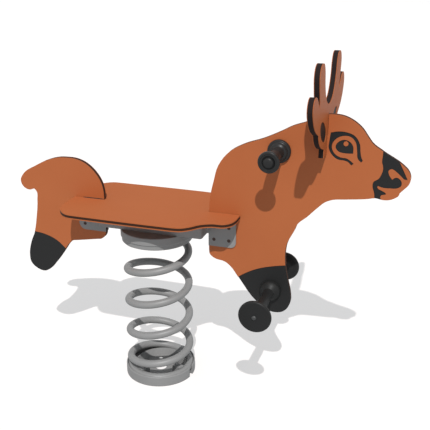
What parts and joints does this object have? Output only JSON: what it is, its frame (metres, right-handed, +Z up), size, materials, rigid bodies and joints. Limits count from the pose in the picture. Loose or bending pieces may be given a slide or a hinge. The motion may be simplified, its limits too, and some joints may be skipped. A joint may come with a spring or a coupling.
{
  "type": "spring rider",
  "caption": "Playground spring rider: deer-shaped boards, seat, antlers, hand grips and footrests on a steel coil spring bolted to the ground.",
  "frame": {"origin": "centre of the base ring's underside, on the axis of the spring", "axes": "+X points to the deer's nose, +Y to its left, +Z up"},
  "size_m": [1.1191, 0.4308, 0.966],
  "materials": {
    "steel": "grey powder coat, satin",
    "spring_steel": "grey powder coat, satin",
    "screw": "dark zinc plated",
    "board": "orange compact laminate with a black core, matt",
    "black_plastic": "black moulded plastic, satin"
  },
  "bodies": {
    "base": {"base_ring": "steel", "base_clamps": "steel", "base_clamp_screws": "screw"},
    "spring": {"spring": "spring_steel"},
    "rider": {"spring_cup": "steel", "cup_clamps": "steel", "cup_clamp_screws": "screw", "cup_bolts": "screw", "cup_nuts": "screw", "left_bracket": "steel", "right_bracket": "steel", "seat_board": "board", "seat_screws": "screw", "front_panel": "board", "rear_panel": "board", "antler_panel": "board", "front_panel_screws": "screw", "front_panel_sleeves": "screw", "rear_panel_screws": "screw", "rear_panel_sleeves": "screw", "left_grip": "black_plastic", "right_grip": "black_plastic", "grip_rod": "screw", "grip_nuts": "screw", "left_grip_cap": "black_plastic", "right_grip_cap": "black_plastic", "left_footrest": "black_plastic", "right_footrest": "black_plastic", "footrest_rod": "screw"}
  },
  "joints": [
    {"name": "rock_fore_aft", "type": "hinge", "parent": "base", "child": "spring", "pos_m": [0, 0, 0.13], "axis": [0, 1, 0], "range_deg": [-20, 20], "stiffness_Nm_per_rad": 740, "springref_deg": -1.09, "deforming": ["spring"]},
    {"name": "rock_sideways", "type": "hinge", "parent": "spring", "child": "rider", "pos_m": [0, 0, 0.34], "axis": [1, 0, 0], "range_deg": [-15, 15], "stiffness_Nm_per_rad": 740, "deforming": ["spring"]}
  ]
}
